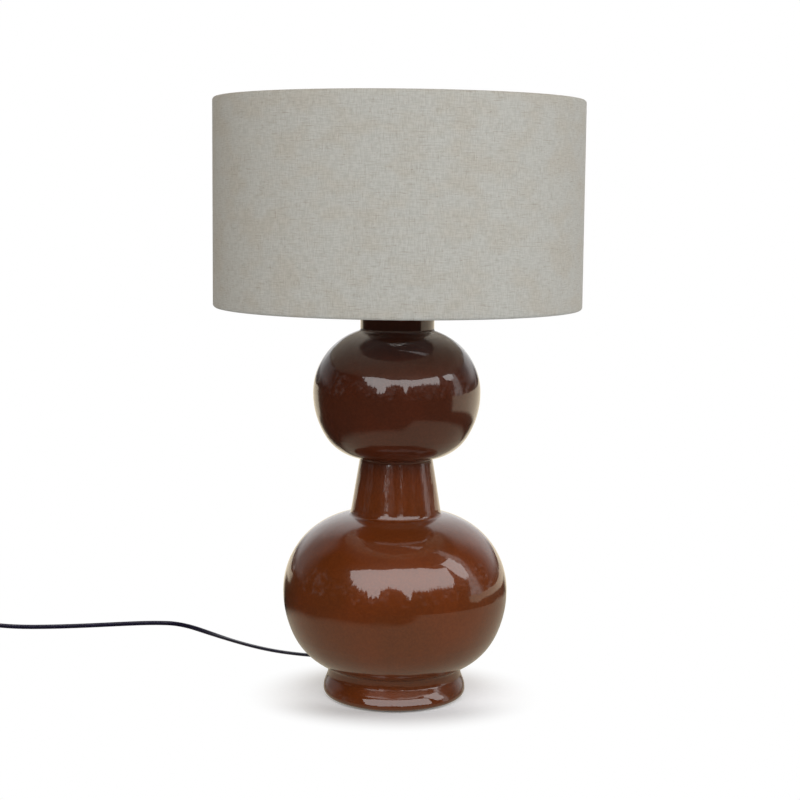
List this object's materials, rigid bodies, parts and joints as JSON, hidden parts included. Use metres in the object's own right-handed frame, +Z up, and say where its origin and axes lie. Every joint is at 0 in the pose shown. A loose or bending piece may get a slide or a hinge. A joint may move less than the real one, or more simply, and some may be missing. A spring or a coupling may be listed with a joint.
{
  "type": "table_lamp",
  "caption": "Table lamp with a double gourd body in brown glazed stoneware, a linen drum shade and a dark flat cord with hand switch and plug",
  "frame": {"origin": "centre of the round foot on the table plane", "axes": "+Z up along the lamp's axis, -Y the side seen in the picture, +Y the rear where the cord leaves to the left"},
  "size_m": [0.9538, 0.4958, 0.655],
  "materials": {
    "stoneware": "glossy",
    "felt": "matte",
    "steel": "satin",
    "chrome": "polished",
    "brass": "satin",
    "cork": "matte",
    "black_plastic": "matte",
    "porcelain": "satin",
    "linen": "matte",
    "liner": "matte",
    "white_steel": "satin",
    "bulb_glass": "glossy",
    "tin": "satin",
    "cord_jacket": "satin",
    "core_insulation": "satin"
  },
  "bodies": {
    "base": {"ceramic_body": "stoneware", "felt_pad": "felt", "base_washer": "steel", "base_nut": "steel", "threaded_tube": "steel", "neck_seal": "cork", "neck_cap": "brass", "cap_nut": "brass", "lampholder_cap": "black_plastic", "grub_screw": "steel", "lampholder_shell": "black_plastic", "lampholder_insert": "porcelain", "screw_contact": "brass", "centre_contact": "brass", "terminal_blocks": "brass", "terminal_screws": "steel", "ring_nut_lower": "black_plastic", "cord_gland": "black_plastic", "inner_lead": "cord_jacket", "lead_cores": "core_insulation", "cord_lead": "cord_jacket", "cord_run": "cord_jacket", "cord_coil": "cord_jacket", "coil_tie": "black_plastic", "cord_tail": "cord_jacket", "switch_base": "black_plastic", "switch_cover": "black_plastic", "switch_pin": "steel", "switch_screws": "steel", "switch_terminals": "brass", "plug_body": "black_plastic", "plug_pins": "chrome", "pin_sleeves": "black_plastic"},
    "shade": {"shade_liner": "liner", "shade_linen": "linen", "shade_ring_bottom": "white_steel", "shade_ring_top": "white_steel", "shade_hem_bottom": "linen", "shade_hem_top": "linen", "shade_spider": "white_steel", "spider_ring": "white_steel"},
    "ring_nut": {"ring_nut_upper": "black_plastic"},
    "bulb": {"bulb_glass": "bulb_glass", "bulb_cap": "tin", "bulb_insulator": "black_plastic", "bulb_contact": "tin", "bulb_stem": "bulb_glass", "bulb_filament": "steel"},
    "rocker": {"switch_rocker": "black_plastic"}
  },
  "joints": [
    {"name": "shade_turn", "type": "hinge", "parent": "base", "child": "shade", "pos_m": [0, 0, 0.491], "axis": [0, 0, 1], "continuous": true},
    {"name": "ring_nut_turn", "type": "hinge", "parent": "base", "child": "ring_nut", "pos_m": [0, 0, 0.4955], "axis": [0, 0, 1], "continuous": true},
    {"name": "bulb_lift", "type": "slide", "parent": "base", "child": "bulb", "axis": [0, 0, 1], "range_m": [0, 0.18]},
    {"name": "switch_rock", "type": "hinge", "parent": "base", "child": "rocker", "pos_m": [-0.578, 0.268, 0.014], "axis": [0, -1, 0], "range_deg": [0, 24]}
  ]
}
